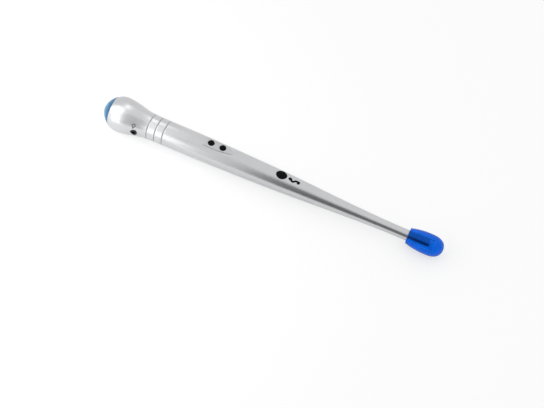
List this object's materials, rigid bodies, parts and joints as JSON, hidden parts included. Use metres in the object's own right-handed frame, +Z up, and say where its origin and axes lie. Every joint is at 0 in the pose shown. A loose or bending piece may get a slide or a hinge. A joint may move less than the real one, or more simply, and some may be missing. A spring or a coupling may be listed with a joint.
{
  "type": "electronic air drumstick",
  "caption": "Tapered silver stick with a bulbous butt, translucent blue end cap and light-up tip, push buttons, headphone socket and a swing-down battery door.",
  "frame": {"origin": "bottom centre of the bounding box: under the middle of the stick's length, on the plane that the bulb's lowest point touches", "axes": "+X along the stick from its butt to its tip, +Z up through the buttons, -Y the side with the headphone socket"},
  "size_m": [0.327, 0.033, 0.033],
  "materials": {
    "silver_paint": "metallic silver lacquer on moulded plastic, semi-gloss",
    "clear_blue": "translucent blue moulded plastic, glossy",
    "black_rubber": "matte silicone rubber",
    "black_plastic": "moulded black plastic",
    "board": "glass-fibre board with green solder mask",
    "steel": "plated steel",
    "brass": "bare brass",
    "paper": "pressed paper cone",
    "grey_plastic": "dark grey moulded plastic",
    "clear_lamp": "clear epoxy lamp body",
    "cell_sleeve": "plain printed sleeve on a steel can",
    "lead_insulation": "PVC insulation"
  },
  "bodies": {
    "stick": {"upper_shell": "silver_paint", "bulb_underside": "silver_paint", "shaft_underside": "silver_paint", "end_cap": "clear_blue", "speaker_ring": "grey_plastic", "speaker_frame": "steel", "speaker_magnet": "steel", "speaker_cone": "paper", "headphone_jack": "black_plastic", "circuit_board": "board", "sound_chip": "black_plastic", "capacitor": "grey_plastic", "switch_domes": "steel", "battery_tray": "grey_plastic", "board_screws": "steel", "battery_rear": "cell_sleeve", "battery_middle": "cell_sleeve", "battery_front": "cell_sleeve", "negative_spring": "steel", "positive_contact": "steel", "tip_holder": "grey_plastic", "tip_lens": "clear_blue", "tip_led": "clear_lamp", "tip_leads": "lead_insulation", "speaker_leads": "lead_insulation", "motion_switch_case": "brass", "motion_switch_spring": "steel"},
    "battery_door": {"battery_door": "silver_paint", "door_screw": "steel"},
    "rear_button": {"rear_button": "black_rubber"},
    "middle_button": {"middle_button": "black_rubber"},
    "front_button": {"front_button": "black_rubber"},
    "motion_weight": {"motion_switch_weight": "brass"}
  },
  "joints": [
    {"name": "rear_button_press", "type": "slide", "parent": "stick", "child": "rear_button", "axis": [0, 0, 1], "range_m": [-0.0005, 0], "stiffness_N_per_m": 200, "springref_m": 0.001},
    {"name": "middle_button_press", "type": "slide", "parent": "stick", "child": "middle_button", "axis": [0, 0, 1], "range_m": [-0.0005, 0], "stiffness_N_per_m": 200, "springref_m": 0.001},
    {"name": "front_button_press", "type": "slide", "parent": "stick", "child": "front_button", "axis": [0, 0, 1], "range_m": [-0.0005, 0], "stiffness_N_per_m": 200, "springref_m": 0.001},
    {"name": "battery_door_swing", "type": "hinge", "parent": "stick", "child": "battery_door", "pos_m": [0.0447, 0, 0.00867], "axis": [0, -1, 0], "range_deg": [0, 15]},
    {"name": "motion_weight_slide", "type": "slide", "parent": "stick", "child": "motion_weight", "axis": [0, 0, 1], "range_m": [-0.001, 0.001], "stiffness_N_per_m": 20}
  ]
}
